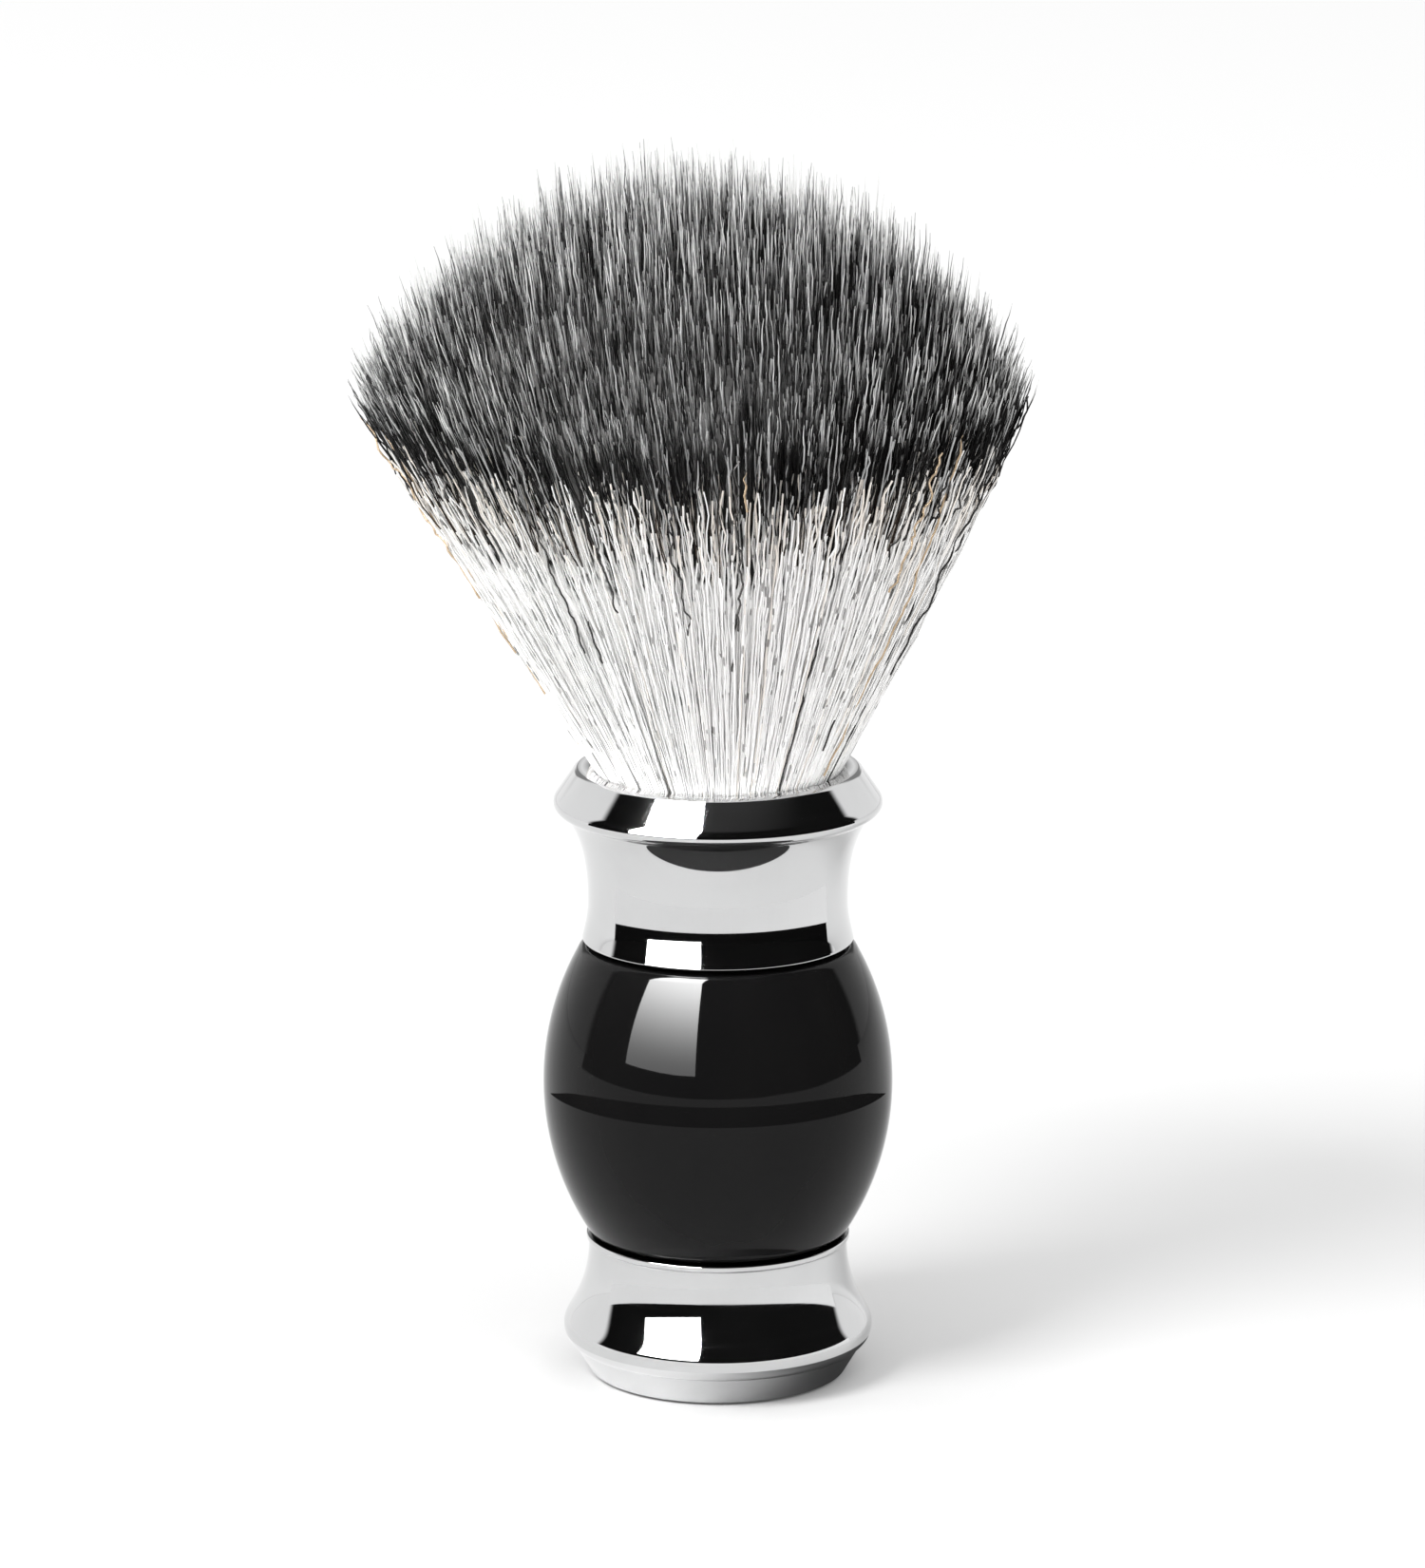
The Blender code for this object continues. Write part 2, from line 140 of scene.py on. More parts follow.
class Finish(Bench):
    """A material. Its plain values go on the shader's own sockets, and what varies is linked."""

    def __init__(self, name, **values):
        self.material = bpy.data.materials.new(name)
        self.material.use_nodes = True
        super().__init__(self.material.node_tree)
        self.shader = self.tree.nodes["Principled BSDF"]
        self.set(**values)

    def set(self, **values):
        for key, value in values.items():
            colour = isinstance(value, tuple) and len(value) == 3
            self.feed(self.shader, key.replace("_", " "), (*value, 1.0) if colour else value)

    def here(self, stretch=(1, 1, 1)):
        """Object coordinates, squeezed along each axis."""
        place = self.node("ShaderNodeTexCoord", output="Object")
        return self.node("ShaderNodeMapping", {}, {"Vector": place, "Scale": stretch})

    def along(self, axis):
        """The object coordinate on one axis."""
        return self.node("ShaderNodeSeparateXYZ", {}, {"Vector": self.here()}, axis)

    def attribute(self, name):
        return self.node("ShaderNodeAttribute", {"attribute_name": name}, output="Fac")

    def bump(self, height, depth):
        sockets = {"Height": height, "Distance": depth, "Strength": 1.0}
        return self.node("ShaderNodeBump", {}, sockets)


def polished_chrome(name, seed):
    """Mirror plating with a faint haze of handling and fine polishing marks round the piece."""
    finish = Finish(name, Metallic=1.0)
    haze = finish.noise(finish.here(), 90.0 + seed, 4.0).between(0.42, 0.72)
    marks = finish.noise(finish.here((60, 60, 4000)), 1.0, 3.0).between(0.45, 0.75)
    finish.set(Base_Color=finish.mix(haze, (0.615, 0.617, 0.62), (0.58, 0.582, 0.585)))
    finish.set(Roughness=0.025 + 0.035 * haze + 0.02 * marks)
    finish.set(Normal=finish.bump(haze + 0.3 * marks, 0.0000004))
    return finish.material


def bezier(start, handle_a, handle_b, end, steps):
    """Points along a cubic curve, both ends included."""
    found = []
    for i in range(steps + 1):
        t = i / steps
        weights = ((1 - t) ** 3, 3 * t * (1 - t) ** 2, 3 * t * t * (1 - t), t**3)
        corners = (start, handle_a, handle_b, end)
        found.append(tuple(sum(w * p[k] for w, p in zip(weights, corners)) for k in (0, 1)))
    return found


def eased(outline, radius, steps=4, sharpest=160):
    """The outline, in millimetres, with every corner sharper than an angle rounded off."""
    found = [outline[0]]
    for before, corner, after in zip(outline, outline[1:], outline[2:]):
        back, on = Vector(before) - Vector(corner), Vector(after) - Vector(corner)
        if back.angle(on) > math.radians(sharpest):
            found.append(corner)
            continue
        reach = min(radius, back.length * 0.45, on.length * 0.45)
        start = Vector(corner) + back.normalized() * reach
        end = Vector(corner) + on.normalized() * reach
        for i in range(steps + 1):
            t = i / steps
            rounded = start * (1 - t) ** 2 + Vector(corner) * 2 * t * (1 - t) + end * t * t
            found.append(tuple(rounded))
    return [*found, outline[-1]]


def placed(name, data):
    """A new object in the scene, at the origin."""
    made = bpy.data.objects.new(name, data)
    bpy.context.scene.collection.objects.link(made)
    return made


def closed(name, shape, finish, crease):
    """A piece from its faces: joined where they meet, facing outward, smooth but creased."""
    bmesh.ops.remove_doubles(shape, verts=shape.verts, dist=0.0005 * MM)
    bmesh.ops.recalc_face_normals(shape, faces=shape.faces)
    mesh = bpy.data.meshes.new(name)
    shape.to_mesh(mesh)
    shape.free()
    mesh.shade_smooth()
    mesh.set_sharp_from_angle(angle=math.radians(crease))
    mesh.materials.append(finish)
    return placed(name, mesh)


def turned(name, outline, finish, segments=160, crease=32):
    """A closed solid turned from a half-section in millimetres: a ring if it stays off the axis."""
    solid = outline[0][0] == 0 and outline[-1][0] == 0
    shape = bmesh.new()
    points = [shape.verts.new((r * MM, 0.0, z * MM)) for r, z in outline]
    pairs = list(zip(points, points[1:])) + ([] if solid else [(points[-1], points[0])])
    edges = [shape.edges.new(pair) for pair in pairs]
    turn = {"cent": (0, 0, 0), "axis": (0, 0, 1), "angle": math.tau, "steps": segments}
    bmesh.ops.spin(shape, geom=points + edges, use_merge=True, **turn)
    return closed(name, shape, finish, crease)


def settle(piece, body, slot, *nodes):
    """Hands a finished piece to its body and hides the nodes it stands for; the slot is not used."""
    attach(piece, body)
    if nodes:
        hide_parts(*nodes)


belly = (14.2, 4.6)
foot_outline = [(3.3, 15.9), (6.2, 15.9), (6.5, 15.6), (6.5, 13.2), (7.5, 13.2), (7.5, 11.9)]
foot_outline += [(10.1, 11.9), (10.1, 13.2), (12.1, 13.2), (12.1, 12.75)]
foot_outline += bezier((11.85, 12.55), (11.85, 7.6), (14.1, 5.75), belly, 40)
foot_outline += bezier(belly, (14.25, 3.9), (14.0, 3.2), (13.3, 2.8), 12)[1:]
foot_outline += [(11.75, 0.2), (10.7, 0.2), (10.7, 2.7), (9.6, 2.7), (9.6, 10.4), (3.3, 10.4)]
foot = turned("chromed_foot", eased(foot_outline, 0.12), polished_chrome("foot_chrome", 0))
settle(foot, "handle", "chrome", "foot")


# --- Foot pad and cover ---------------------------------------------------------------------------
# A moulded rubber disc glued under the foot, with fine concentric grips, and the pressed steel disc
# above it that closes the hollow foot.

rubber = Finish("pad_rubber", Roughness=0.8)
grime = rubber.noise(rubber.here(), 700.0, 5.0)
rubber.set(Base_Color=rubber.mix(grime, (0.018, 0.018, 0.018), (0.040, 0.039, 0.037)))
rubber.set(Roughness=0.68 + 0.22 * grime)
rubber.set(Normal=rubber.bump(rubber.noise(rubber.here(), 4000.0, 3.0), 0.00002))

grips, first_grip, grip_spacing, grip_width, grip_depth, grip_draft = 7, 9.4, 1.2, 0.6, 0.25, 0.15
pad_outline = [(0, 1.3), (10.2, 1.3), (10.4, 1.1), (10.4, 0.25), (10.2, 0)]
for outer in (first_grip - grip_spacing * k for k in range(grips)):
    inner = outer - grip_width
    pad_outline += [(outer, 0), (outer - grip_draft, grip_depth)]
    pad_outline += [(inner + grip_draft, grip_depth), (inner, 0)]
pad_outline += [(0, 0)]
foot_pad = turned("rubber_foot_pad", eased(pad_outline, 0.08, 2), rubber.material)
settle(foot_pad, "handle", "rubber", "foot_pad")


def plain_steel(name, brushing):
    """Zinc-plated steel, with marks that run along or round the piece and a slight mottling."""
    finish = Finish(name, Metallic=1.0)
    mottle = finish.noise(finish.here(), 300.0, 4.0)
    marks = finish.noise(finish.here(brushing), 1.0, 3.0)
    finish.set(Base_Color=finish.mix(mottle, (0.46, 0.46, 0.47), (0.62, 0.61, 0.59)))
    finish.set(Roughness=0.24 + 0.12 * marks + 0.08 * mottle)
    finish.set(Normal=finish.bump(marks, 0.000004))
    return finish.material


cover_steel = plain_steel("cover_steel", (900, 60, 900))
cover_outline = [(0, 2.4), (10.3, 2.4), (10.4, 2.3), (10.4, 1.7), (10.3, 1.6)]
cover_outline += [(8.6, 1.6), (8.2, 1.9), (7.8, 1.6), (0, 1.6)]
cover = turned("steel_foot_cover", eased(cover_outline, 0.15), cover_steel)
settle(cover, "handle", "steel", "foot_cover")


# --- Balance weight, washers and lower seal -------------------------------------------------------
# A turned steel ring fills the foot's hollow; a flat washer and a split spring washer sit over the
# screw's head; a rubber ring seals the joint between foot and barrel.


def ring(name, inner_r, outer_r, bottom, top, finish, edge=0.15):
    """A flat ring with rounded edges, in millimetres."""
    outline = [(inner_r + edge, top), (outer_r - edge, top), (outer_r, top - edge)]
    outline += [(outer_r, bottom + edge), (outer_r - edge, bottom), (inner_r + edge, bottom)]
    outline += [(inner_r, bottom + edge), (inner_r, top - edge)]
    return turned(name, eased(outline, edge * 0.6, 3), finish, 96)


turned_steel = plain_steel("turned_steel", (40, 40, 6000))
weight = ring("steel_balance_weight", 6.3, 9.3, 3.0, 10.1, turned_steel, 0.35)
settle(weight, "handle", "steel", "balance_weight")
flat_washer = ring("steel_flat_washer", 3.3, 6.0, 8.5, 10.1, turned_steel)
settle(flat_washer, "handle", "steel", "flat_washer")


def skinned(name, points, faces, finish, crease):
    """A closed solid from points, in millimetres, and the faces between them."""
    shape = bmesh.new()
    corners = [shape.verts.new([c * MM for c in point]) for point in points]
    for face in faces:
        shape.faces.new([corners[k] for k in face])
    return closed(name, shape, finish, crease)


def split_washer(name, inner_r, outer_r, bottom, top, finish):
    """A coil of square wire, one turn less a slot, that rises a little from end to end."""
    steps, slot, slant, rise = 96, math.radians(9), math.radians(4), 0.12
    middle_r, half_w = (inner_r + outer_r) / 2, (outer_r - inner_r) / 2
    half_h = (top - bottom - rise) / 2
    points = []
    for i in range(steps + 1):
        angle = slot / 2 + (math.tau - slot) * i / steps
        middle_z = bottom + half_h + rise * i / steps
        for side, up in ((-1, -1), (1, -1), (1, 1), (-1, 1)):
            r, leaned = middle_r + side * half_w, angle + slant * up
            points.append((r * math.cos(leaned), r * math.sin(leaned), middle_z + up * half_h))
    faces = [(3, 2, 1, 0), tuple(4 * steps + k for k in range(4))]
    for here in range(0, 4 * steps, 4):
        for k in range(4):
            beside = (k + 1) % 4
            faces.append((here + k, here + beside, here + 4 + beside, here + 4 + k))
    return skinned(name, points, faces, finish, 32)


spring = split_washer("steel_spring_washer", 3.3, 5.9, 6.6, 8.2, turned_steel)
settle(spring, "handle", "steel", "spring_washer")
lower_seal = ring("rubber_lower_seal", 7.8, 9.8, 12.2, 13.2, rubber.material, 0.4)
settle(lower_seal, "handle", "rubber", "lower_seal")


# --- Tie screw ------------------------------------------------------------------------------------
# M6 by 40 mm, right-hand coarse thread on the upper part of a plain shank, and a round head with a
# hexagon socket. It pulls foot, barrel and collar together, and shows when the collar is unscrewed.

screw_r, pitch, thread_depth, screw_tip = 2.98, 1.0, 0.61, 46.3
thread_start, thread_fade, tip_chamfer = 22.0, 2.0, 0.7
socket_flats, socket_top, head_bottom, socket_chamfer = 4.0, 5.0, 3.0, 0.15
around, rings_per_turn = 36, 10


def screw_side(angle, z):
    """Radius of the shank at a place on it: plain, then threaded, with a chamfered tip."""
    phase = (z / pitch - angle / math.tau) % 1.0
    flank = min(max((0.5 - abs(phase - 0.5)) * 2.6 - 0.35, 0.0), 1.0)
    fade = min(max((z - thread_start) / thread_fade, 0.0), 1.0)
    radius = screw_r - thread_depth * fade * (1 - flank)
    return min(radius, screw_r - max(0.0, z - (screw_tip - tip_chamfer)) * 0.9)


def hexagon(angle, flats):
    """Distance from the middle of a hexagon to its side, along an angle."""
    return flats / 2 / math.cos((angle + math.pi / 6) % (math.pi / 3) - math.pi / 6)


spokes = [math.tau * k / around for k in range(around)]
screw_rows = [[(0.0, socket_top - 0.5)] * around]
for z in (socket_top, head_bottom + socket_chamfer):
    screw_rows.append([(hexagon(a, socket_flats), z) for a in spokes])
screw_rows.append([(hexagon(a, socket_flats) + socket_chamfer, head_bottom) for a in spokes])
head = bezier((3.2, head_bottom), (4.6, head_bottom), (5.2, 4.2), (5.25, 5.4), 10)
head += [(5.25, 6.15), (5.1, 6.3), (3.1, 6.3)]
screw_rows += [[corner] * around for corner in head]
threaded = screw_tip - thread_start
thread_rings = int(threaded / pitch * rings_per_turn)
heights = [6.4, 14.0]
heights += [thread_start + threaded * k / thread_rings for k in range(thread_rings + 1)]
screw_rows += [[(screw_side(a, z), z) for a in spokes] for z in heights]
screw_rows.append([(0.0, screw_tip)] * around)

screw_points, screw_faces = [], []
for row in screw_rows:
    screw_points += [(r * math.cos(a), r * math.sin(a), z) for a, (r, z) in zip(spokes, row)]
for here in range(0, around * (len(screw_rows) - 1), around):
    for k in range(around):
        beside, above = (k + 1) % around, here + around
        screw_faces.append((here + k, here + beside, above + beside, above + k))
screw_steel = plain_steel("screw_steel", (700, 700, 700))
tie_screw = skinned("threaded_tie_screw", screw_points, screw_faces, screw_steel, 40)
settle(tie_screw, "handle", "steel", "tie_screw")


# --- Barrel ---------------------------------------------------------------------------------------
# Black cast resin, turned to one bulging curve and buffed to a deep gloss. It is bored for the
# screw and counterbored at each end for a spigot.

resin = Finish("black_resin", IOR=1.22)
swirl = resin.noise(resin.here((1, 1, 0.35)), 160.0, 4.0)
buffing = resin.noise(resin.here((50, 50, 3000)), 1.0, 2.0).between(0.5, 0.8)
resin.set(Base_Color=resin.mix(swirl, (0.0035, 0.0035, 0.0038), (0.0065, 0.0063, 0.0062)))
resin.set(Roughness=0.03 + 0.03 * swirl.between(0.5, 0.75) + 0.01 * buffing)
resin.set(Normal=resin.bump(buffing, 0.0000003))

bulge_r, bulge_z, widest = 25.6, 27.5, 16.0
barrel_bottom, barrel_top, barrel_edge = 13.5, 40.5, 0.35
start = math.asin((barrel_top - barrel_edge - bulge_z) / bulge_r)
stop = math.asin((barrel_bottom + barrel_edge - bulge_z) / bulge_r)
side_steps, spigot_r, bore_r, lower_ledge, upper_ledge = 96, 6.8, 3.3, 16.2, 36.0
barrel_side = [
    (widest - bulge_r + bulge_r * math.cos(a), bulge_z + bulge_r * math.sin(a))
    for a in (start + (stop - start) * i / side_steps for i in range(side_steps + 1))
]
top_r, bottom_r = (barrel_side[end][0] - barrel_edge for end in (0, -1))
barrel_outline = [(spigot_r, barrel_top), (top_r, barrel_top), *barrel_side]
barrel_outline += [(bottom_r, barrel_bottom), (spigot_r, barrel_bottom), (spigot_r, lower_ledge)]
barrel_outline += [(bore_r, lower_ledge), (bore_r, upper_ledge), (spigot_r, upper_ledge)]
barrel = turned("black_barrel", eased(barrel_outline, 0.3, 5), resin.material, 192)
settle(barrel, "handle", "black_resin", "barrel")


# --- Upper seal -----------------------------------------------------------------------------------
# A rubber ring in the groove under the collar; it rises with the collar.

upper_seal = ring("rubber_upper_seal", 7.8, 9.8, 40.8, 41.8, rubber.material, 0.4)
settle(upper_seal, "lift", "rubber", "upper_seal")


# --- Collar ---------------------------------------------------------------------------------------
# The second chromed casting: a flat mouth round the knot, a shoulder that slopes out to a crisp
# crease, a hollow waist, and a tapped spigot underneath.

collar_outline = [(0, 47.5), (10.65, 47.5), (10.65, 55.5), (11.3, 56.85), (11.75, 57.0)]
collar_outline += [(12.8, 57.0), (13.1, 56.8)]
collar_outline += bezier((14.7, 54.5), (15.2, 53.8), (15.05, 53.15), (13.95, 52.7), 16)
collar_outline += bezier((13.95, 52.7), (12.6, 51.0), (11.85, 48.5), (11.85, 44.6), 32)[1:]
collar_outline += bezier((11.85, 44.6), (11.85, 43.3), (12.08, 42.4), (12.4, 41.05), 18)[1:]
collar_outline += [(12.1, 40.9), (10.1, 40.9), (10.1, 42.1), (7.5, 42.1), (7.5, 40.9), (6.5, 40.9)]
collar_outline += [(6.5, 36.6), (6.2, 36.3), (3.3, 36.3), (3.3, 46.7), (0, 46.7)]
collar_chrome = polished_chrome("collar_chrome", 7)
collar = turned("chromed_collar", eased(collar_outline, 0.1), collar_chrome, 192)
settle(collar, "collar", "chrome", "collar")


# --- Root of the knot -----------------------------------------------------------------------------
# Inside the collar: a bed of cured glue, a moulded nylon cup, the resin that the butt ends of the
# fibres are cast in, and four turns of waxed thread round the gathered fibres.

glue = Finish("cured_glue")
cloud = glue.noise(glue.here(), 500.0, 4.0)
glue.set(Base_Color=glue.mix(cloud, (0.62, 0.46, 0.20), (0.80, 0.68, 0.42)))
glue.set(Roughness=0.15 + 0.2 * cloud, Normal=glue.bump(cloud, 0.00003))
glue_outline = [(0, 48.6), (7.0, 48.55), (10.0, 48.6), (10.35, 48.4), (10.35, 47.9)]
glue_outline += [(10.25, 47.8), (0, 47.8)]
glue_bed = turned("cured_glue_bed", eased(glue_outline, 0.1), glue.material, 64)
settle(glue_bed, "collar", "glue", "glue_bed")

nylon = Finish("moulded_nylon")
flow = nylon.noise(nylon.here((1, 1, 4)), 260.0, 4.0)
nylon.set(Base_Color=nylon.mix(flow, (0.74, 0.73, 0.70), (0.84, 0.84, 0.81)))
nylon.set(Roughness=0.42 + 0.14 * flow)
nylon.set(Normal=nylon.bump(nylon.noise(nylon.here(), 3000.0, 2.0), 0.000008))
cup_outline = [(0, 49.9), (9.6, 49.9), (9.6, 54.8), (9.8, 55.0), (10.15, 55.0), (10.35, 54.8)]
cup_outline += [(10.35, 52.6), (10.1, 52.4), (10.1, 51.6), (10.35, 51.4), (10.35, 49.1)]
cup_outline += [(10.15, 48.9), (0, 48.9)]
knot_cup = turned("nylon_knot_cup", eased(cup_outline, 0.12), nylon.material, 96)
settle(knot_cup, "collar", "nylon", "knot_cup")

potting_outline = [(0, 52.8), (6.0, 52.75), (9.0, 52.8), (9.3, 52.6), (9.3, 50.4)]
potting_outline += [(9.1, 50.2), (0, 50.2)]
potting = turned("cast_root_potting", eased(potting_outline, 0.15), glue.material, 64)
settle(potting, "collar", "glue", "root_potting")

waxed = Finish("waxed_thread")
twist = waxed.noise(waxed.here((3000, 3000, 9000)), 1.0, 2.0)
waxed.set(Base_Color=waxed.mix(twist, (0.50, 0.45, 0.36), (0.76, 0.72, 0.62)))
waxed.set(Roughness=0.7 + 0.2 * twist, Normal=waxed.bump(twist, 0.00003))
cord_r, windings, binding_r, binding_bottom = 0.19, 4, 8.75, 53.1
cord_arc = [math.radians(75 - 15 * k) for k in range(11)]
binding_outline = []
for winding in reversed(range(windings)):
    middle_r, middle_z = binding_r + cord_r, binding_bottom + cord_r * (2 * winding + 1)
    for a in cord_arc:
        binding_outline.append((middle_r + cord_r * math.cos(a), middle_z + cord_r * math.sin(a)))
binding_top = binding_bottom + 2 * cord_r * windings
binding_outline += [(binding_r, binding_bottom), (binding_r, binding_top)]
binding = turned("thread_binding", binding_outline, waxed.material, 96)
settle(binding, "collar", "thread", "root_binding")


# --- Fibres: core ---------------------------------------------------------------------------------
# The middle of the knot, turned here in place of the imported roots and head, a little inside the
# outermost fibres. It carries the same bands as they do, so that the gaps between them show the
# right depth of colour.

# The fan opens from the collar's mouth to a domed top, and leans a little to one side
mouth_z, mouth_r, fan_slope = 57.0, 11.25, 0.575
dome_r, dome_z, rim_r, lean = 33.3, 79.2, 30.1, -2.5


def bend(piece):
    """Fibres are held by the collar and bend over the stretch above its mouth; this only bakes the
    piece's placement into its mesh.
    """
    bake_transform(piece)


packed = Finish("packed_fibres", Roughness=0.7, Specular_IOR_Level=0.15)
streak = packed.noise(packed.here((900, 900, 60)), 1.0, 3.0)
band = (packed.along("Z") + (streak - 0.5) * 0.012).between(0.0775, 0.0795)
pale = packed.mix(streak.between(0.3, 0.7), (0.86, 0.855, 0.845), (0.96, 0.96, 0.955))
inky = packed.mix(streak, (0.004, 0.004, 0.004), (0.02, 0.019, 0.018))
packed.set(Base_Color=packed.mix(band, pale, inky))
packed.set(Normal=packed.bump(streak, 0.0002), Roughness=0.6 + 0.2 * streak)

sunk, core_top, core_rim, crown_steps, full_lean = 0.9, 104.5, rim_r - 4.4, 12, 36
core_outline = [(0, core_top)]
for r in (core_rim * i / crown_steps for i in range(1, crown_steps + 1)):
    core_outline.append((r, core_top - (dome_r - math.sqrt(dome_r**2 - r**2)) * 1.05))
core_outline += [(25.2, 86.0), (mouth_r - sunk + fan_slope * 20, mouth_z + 20)]
core_outline += [(mouth_r - sunk, mouth_z), (8.4, 55.0), (7.6, 53.1), (0, 53.1)]
core_outline = eased(core_outline, 1.5)
# Rings 1 mm apart, so that the core bends as smoothly as the strands over it
ringed = [core_outline[0]]
for before, after in zip(core_outline, core_outline[1:]):
    cuts = max(1, round(math.dist(before, after)))
    for k in range(1, cuts + 1):
        ringed.append(tuple(b + (a - b) * k / cuts for b, a in zip(before, after)))
core = turned("fibre_core", ringed, packed.material, 96, 60)
for point in core.data.vertices:
    share = max(point.co.z / MM - mouth_z, 0) / full_lean
    point.co.x += lean * MM * min(share, 1)
bend(core)
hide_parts("fibre_roots", "fibre_head")


# --- Fibres: strands ------------------------------------------------------------------------------
# Crimped synthetic fibres, cast in at the root, straight through the mouth and then fanned out,
# with tapered tips on a dome. Each is dyed in three stretches: white, black, and grey with a pale
# tip, and each stretch is a set of pieces of its own. Over the dye lie painted highlights on a few
# black strands, a painted paler rim and painted shade deep in the bundle.

curve_height = 26.0  # of the middle of a strand's curve over the mouth
tail_spread, tail_drop = 25.5, 41.0  # from the mouth down to the root, for each length of strand
splay, wisp = 2.2, 4.2  # how far tips stray, alone and together with their neighbours
crimps_per_metre, wisps_per_metre = 330.0, 700.0


def strand_tree():
    """A point for each strand, a line on each point, bent to the fan and given a thickness."""
    tree = bpy.data.node_groups.new("strands", "GeometryNodeTree")
    wanted = [
        ("Strands", "NodeSocketInt"),
        ("Outer strands", "NodeSocketInt"),
        ("Steps", "NodeSocketInt"),
        ("Seed", "NodeSocketInt"),
        ("Sector start", "NodeSocketFloat"),
        ("Sector width", "NodeSocketFloat"),
        ("Shell share", "NodeSocketFloat"),
        ("Lower end", "NodeSocketFloat"),
        ("Upper end", "NodeSocketFloat"),
        ("Lower jag", "NodeSocketFloat"),
        ("Upper jag", "NodeSocketFloat"),
        ("Lower seed", "NodeSocketInt"),
        ("Upper seed", "NodeSocketInt"),
        ("Thickness", "NodeSocketFloat"),
        ("Crimp", "NodeSocketFloat"),
        ("Dye", "NodeSocketMaterial"),
    ]
    for name, kind in wanted:
        tree.interface.new_socket(name, in_out="INPUT", socket_type=kind)
    tree.interface.new_socket("Strands", in_out="OUTPUT", socket_type="NodeSocketGeometry")
    bench = Bench(tree)
    entry = tree.nodes.new("NodeGroupInput")
    given = {name: Wire(bench, entry.outputs[name]) for name, _ in wanted}

    def chance(salt, base=None):
        """A random number from 0 to 1 for each strand."""
        sockets = {"Min": 0.0, "Max": 1.0, "Seed": (base or given["Seed"]) + salt}
        return bench.node("FunctionNodeRandomValue", {"data_type": "FLOAT"}, sockets)

    def keep(geometry, name, value):
        settings = {"data_type": "FLOAT", "domain": "POINT"}
        sockets = {"Geometry": geometry, "Name": name, "Value": value}
        return bench.node("GeometryNodeStoreNamedAttribute", settings, sockets)

    def kept(name):
        return bench.node("GeometryNodeInputNamedAttribute", {"data_type": "FLOAT"}, {"Name": name})

    def combine(operation, first, second):
        return bench.node("ShaderNodeVectorMath", {"operation": operation}, {0: first, 1: second})

    def wander(place, scale, swing):
        """A random offset that changes smoothly from place to place."""
        offset = combine("SUBTRACT", bench.noise(place, scale, 2.0, "Color"), (0.5, 0.5, 0.5))
        sockets = {0: offset, "Scale": swing}
        return bench.node("ShaderNodeVectorMath", {"operation": "SCALE"}, sockets)

    # Each strand's place in the bundle, its length, and where its dyed stretch starts and ends
    points = bench.node("GeometryNodePoints", {}, {"Count": given["Strands"]})
    order = bench.node("GeometryNodeInputIndex")
    outer = given["Outer strands"].maths("GREATER_THAN", order)
    shell = 1.0 - (1.0 - given["Shell share"]) * chance(1) ** 1.6
    inner = given["Shell share"] * chance(2) ** 0.5
    points = keep(points, "share", outer * shell + (1.0 - outer) * inner)
    points = keep(points, "turn", given["Sector start"] + given["Sector width"] * chance(3))
    stray = chance(5) ** 14
    points = keep(points, "longer", 0.0008 - 0.0074 * chance(4) + 0.0018 * stray)
    points = keep(points, "tone", chance(6))
    points = keep(points, "other_tone", chance(7))
    points = keep(points, "sideways_x", chance(8) - 0.5)
    points = keep(points, "sideways_y", chance(9) - 0.5)
    for end in ("Lower", "Upper"):
        limit = given[end + " end"]
        jag = given[end + " jag"] * (chance(0, given[end + " seed"]) - 0.5)
        edge = (limit + jag + kept("longer")).maths("MAXIMUM", 0.0003)
        points = keep(points, end, edge * limit.maths("GREATER_THAN", 0.0))

    line = bench.node("GeometryNodeCurvePrimitiveLine")
    line = bench.node("GeometryNodeResampleCurve", {}, {"Curve": line, "Count": given["Steps"]})
    lines = bench.node("GeometryNodeInstanceOnPoints", {}, {"Points": points, "Instance": line})
    lines = bench.node("GeometryNodeRealizeInstances", {}, {"Geometry": lines})

    # The centre line: a quadratic curve from the mouth to the dome, and a straight tail to the root
    share, turn = kept("share"), kept("turn")
    tip_r = share * (rim_r * MM)
    tip_z = (dome_r * MM) ** 2 - tip_r * tip_r
    tip_z = dome_z * MM + tip_z.maths("SQRT")
    base_r = share * (mouth_r * MM)
    rise, widening = tip_z - mouth_z * MM, tip_r - base_r
    length = (rise * rise + widening * widening).maths("SQRT")
    along = bench.node("GeometryNodeSplineParameter", output="Factor")
    low = (1.0 - kept("Lower") / length).maths("MAXIMUM", -0.09)
    high = 1.0 - kept("Upper") / length
    place = low + (high - low) * along
    from_tip = (1.0 - place) * length
    reach = place * (1.0 + kept("longer") / length)
    fanned, tail = reach.maths("MAXIMUM", 0.0), reach.maths("MINIMUM", 0.0)
    left = 1.0 - fanned
    at_mouth, at_middle, at_tip = left * left, 2.0 * (fanned * left), fanned * fanned
    middle_r = share * ((mouth_r + fan_slope * curve_height) * MM)
    middle_z = (mouth_z + curve_height) * MM
    radius = at_mouth * base_r + at_middle * middle_r + at_tip * tip_r
    radius = radius + share * tail * (tail_spread * MM)
    z = at_mouth * (mouth_z * MM) + at_middle * middle_z + at_tip * tip_z
    z = z + tail * (tail_drop * MM)
    x = radius * turn.maths("COSINE") + fanned * (lean * MM)
    y = radius * turn.maths("SINE")

